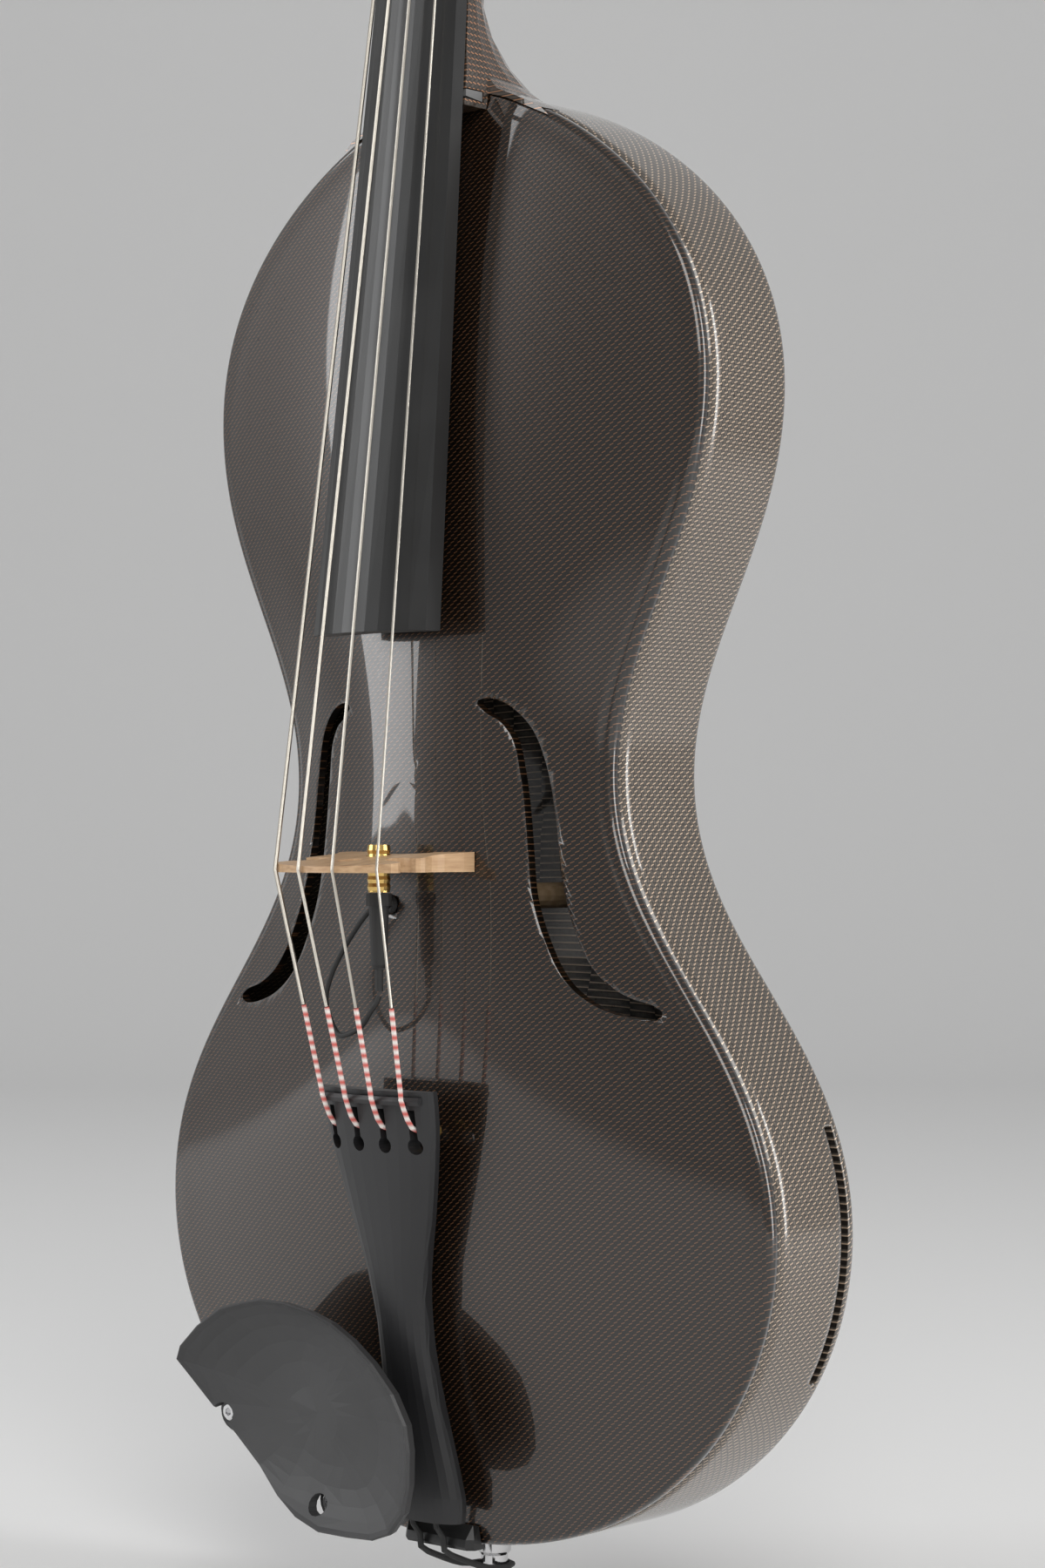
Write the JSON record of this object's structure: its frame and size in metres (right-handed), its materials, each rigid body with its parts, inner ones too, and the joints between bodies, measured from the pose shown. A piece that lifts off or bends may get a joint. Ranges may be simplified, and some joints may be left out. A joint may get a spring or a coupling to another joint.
{
  "type": "viola",
  "caption": "Viola with a cornerless moulded carbon body, slanted sound holes, black fittings, side chinrest and a bridge pickup wired to a jack in the end pin.",
  "frame": {"origin": "centre of the end pin's outer face, on the instrument's centre line", "axes": "+Z from the end pin to the scroll, -Y towards the strings, +X to the treble side"},
  "size_m": [0.228, 0.1071, 0.6947],
  "materials": {
    "body_carbon": "woven carbon under a gloss clear coat",
    "rib_carbon": "woven carbon with copper wire under a gloss clear coat",
    "satin_black": "satin black",
    "composite": "matte black composite",
    "charcoal": "matte charcoal",
    "maple": "unvarnished light maple",
    "spruce": "plain spruce",
    "brass": "bright brass",
    "chrome": "polished",
    "black_rubber": "matte black",
    "string_winding": "pale metal winding",
    "silk": "white silk wrap",
    "cork": "plain cork",
    "block_foam": "hard foam"
  },
  "bodies": {
    "instrument": {"body_shell": "rib_carbon", "top_plate": "body_carbon", "neck": "body_carbon", "neck_shim": "composite", "slot_channel_bass": "composite", "slot_channel_treble": "composite", "top_block": "block_foam", "end_block": "block_foam", "soundpost": "spruce", "bass_bar": "spruce", "fingerboard": "satin_black", "nut": "satin_black", "saddle": "satin_black", "bridge": "maple", "tailpiece": "composite", "tailpiece_fret": "composite", "tailgut": "black_rubber", "endpin_flange": "chrome", "endpin_barrel": "brass", "endpin_nut": "brass", "jack_terminal": "black_rubber", "pickup_jack": "brass", "plug_body": "black_rubber", "plug_boot": "black_rubber", "pickup_cable": "black_rubber", "cable_grommet": "black_rubber", "chinrest_plate": "charcoal", "chinrest_post_outer": "composite", "chinrest_cork_outer": "cork", "chinrest_screw_outer": "chrome", "chinrest_post_inner": "composite", "chinrest_cork_inner": "cork", "chinrest_screw_inner": "chrome", "string_c": "string_winding", "silk_c": "silk", "ball_c": "brass", "string_g": "string_winding", "silk_g": "silk", "ball_g": "brass", "string_d": "string_winding", "silk_d": "silk", "ball_d": "brass", "string_a": "string_winding", "silk_a": "silk", "ball_a": "brass"},
    "tuner_c": {"peg_c": "satin_black"},
    "tuner_g": {"peg_g": "satin_black"},
    "tuner_d": {"peg_d": "satin_black"},
    "tuner_a": {"peg_a": "satin_black"}
  },
  "joints": [
    {"name": "peg_turn_c", "type": "hinge", "parent": "instrument", "child": "tuner_c", "pos_m": [0, 0.0025, 0.5955], "axis": [1, 0, 0], "continuous": true},
    {"name": "peg_turn_g", "type": "hinge", "parent": "instrument", "child": "tuner_g", "pos_m": [0, 0.011, 0.6315], "axis": [1, 0, 0], "continuous": true},
    {"name": "peg_turn_d", "type": "hinge", "parent": "instrument", "child": "tuner_d", "pos_m": [0, 0.0155, 0.6475], "axis": [1, 0, 0], "continuous": true},
    {"name": "peg_turn_a", "type": "hinge", "parent": "instrument", "child": "tuner_a", "pos_m": [0, 0.0065, 0.6125], "axis": [1, 0, 0], "continuous": true}
  ]
}
